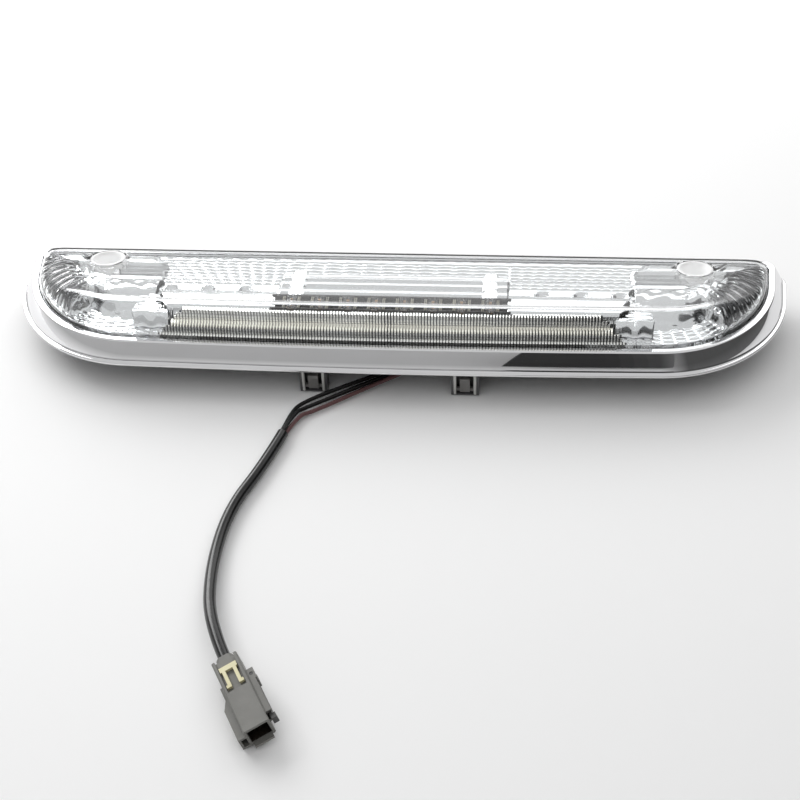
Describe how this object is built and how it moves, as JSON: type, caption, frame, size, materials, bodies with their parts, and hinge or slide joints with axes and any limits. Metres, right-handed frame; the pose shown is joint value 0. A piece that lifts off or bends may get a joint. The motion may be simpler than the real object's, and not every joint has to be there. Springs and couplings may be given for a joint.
{
  "type": "vehicle third brake light",
  "caption": "Wide high-mounted brake light for a pickup cab, with cargo lamps at both ends, chrome bezel, snap feet and a wired connector.",
  "frame": {"origin": "under the middle of the lamp, on the surface that it lies on; the pigtail is left out of this", "axes": "+X along the lamp, +Y towards the edge that is uppermost when mounted, +Z out of the lens"},
  "size_m": [0.44, 0.3264, 0.0465],
  "materials": {
    "lens_clear": "clear polished polycarbonate",
    "bezel_chrome": "bright plated plastic",
    "housing_grey": "moulded, fine grain",
    "tongue_grey": "moulded, smooth",
    "sealant": "cured bead",
    "foam_black": "closed-cell foam",
    "steel": "zinc plated",
    "vent_white": "membrane",
    "rubber_black": "moulded",
    "board_white": "solder mask",
    "led_amber": "moulded",
    "led_yellow": "phosphor",
    "chip_black": "moulded",
    "jumper_red": "insulated wire",
    "optic_clear": "clear polished acrylic",
    "mask_dark": "smooth",
    "reflector_chrome": "vacuum metallised",
    "connector_grey": "moulded, fine grain",
    "lock_ivory": "moulded",
    "latch_grey": "moulded",
    "seal_silicone": "silicone",
    "terminal_brass": "tin-washed",
    "wire_black": "insulated wire",
    "wire_brown": "insulated wire",
    "sheath_black": "glossy sleeve"
  },
  "bodies": {
    "lamp": {"outer_lens": "lens_clear", "screw_wells": "lens_clear", "chrome_bezel": "bezel_chrome", "rear_housing": "housing_grey", "lens_sealant": "sealant", "gasket_foam": "foam_black", "screw_sleeves": "steel", "wiring_cover": "housing_grey", "cover_screws": "steel", "vent_cap": "vent_white", "wire_grommet": "rubber_black", "brake_board": "board_white", "cargo_board_left": "board_white", "cargo_board_right": "board_white", "brake_leds": "led_amber", "cargo_leds_left": "led_yellow", "cargo_leds_right": "led_yellow", "board_resistors": "chip_black", "board_screws": "steel", "jumper_wires": "jumper_red", "light_pipes": "optic_clear", "pipe_mask": "mask_dark", "brake_reflector": "reflector_chrome", "cargo_reflector_left": "reflector_chrome", "cargo_reflector_right": "reflector_chrome", "ribbed_optic": "optic_clear", "edge_optic": "optic_clear", "end_reflector_left": "reflector_chrome", "end_reflector_right": "reflector_chrome", "trim_panel_left": "reflector_chrome", "trim_panel_right": "reflector_chrome", "connector_housing": "connector_grey", "connector_seal": "seal_silicone", "connector_terminals": "terminal_brass", "wire_brake": "wire_black", "wire_ground": "wire_black", "wire_cargo": "wire_brown", "wire_sheath": "sheath_black"},
    "snap_tongue_left": {"snap_tongue_left": "tongue_grey"},
    "snap_tongue_right": {"snap_tongue_right": "tongue_grey"},
    "connector_latch": {"connector_latch": "latch_grey"},
    "connector_lock": {"connector_lock": "lock_ivory"}
  },
  "joints": [
    {"name": "snap_tongue_left_flex", "type": "hinge", "parent": "lamp", "child": "snap_tongue_left", "pos_m": [-0.0412, -0.0422, 0.0034], "axis": [-1, 0, 0], "range_deg": [0, 12], "stiffness_Nm_per_rad": 0.05},
    {"name": "snap_tongue_right_flex", "type": "hinge", "parent": "lamp", "child": "snap_tongue_right", "pos_m": [0.0412, -0.0422, 0.0034], "axis": [-1, 0, 0], "range_deg": [0, 12], "stiffness_Nm_per_rad": 0.05},
    {"name": "connector_latch_press", "type": "hinge", "parent": "lamp", "child": "connector_latch", "pos_m": [-0.04325, -0.2472, 0.00981], "axis": [0.2116, 0.1173, -0.9703], "range_deg": [0, 1.8], "stiffness_Nm_per_rad": 0.02},
    {"name": "connector_lock_slide", "type": "slide", "parent": "lamp", "child": "connector_lock", "axis": [-0.4848, 0.8746, 0], "range_m": [0, 0.003]}
  ]
}
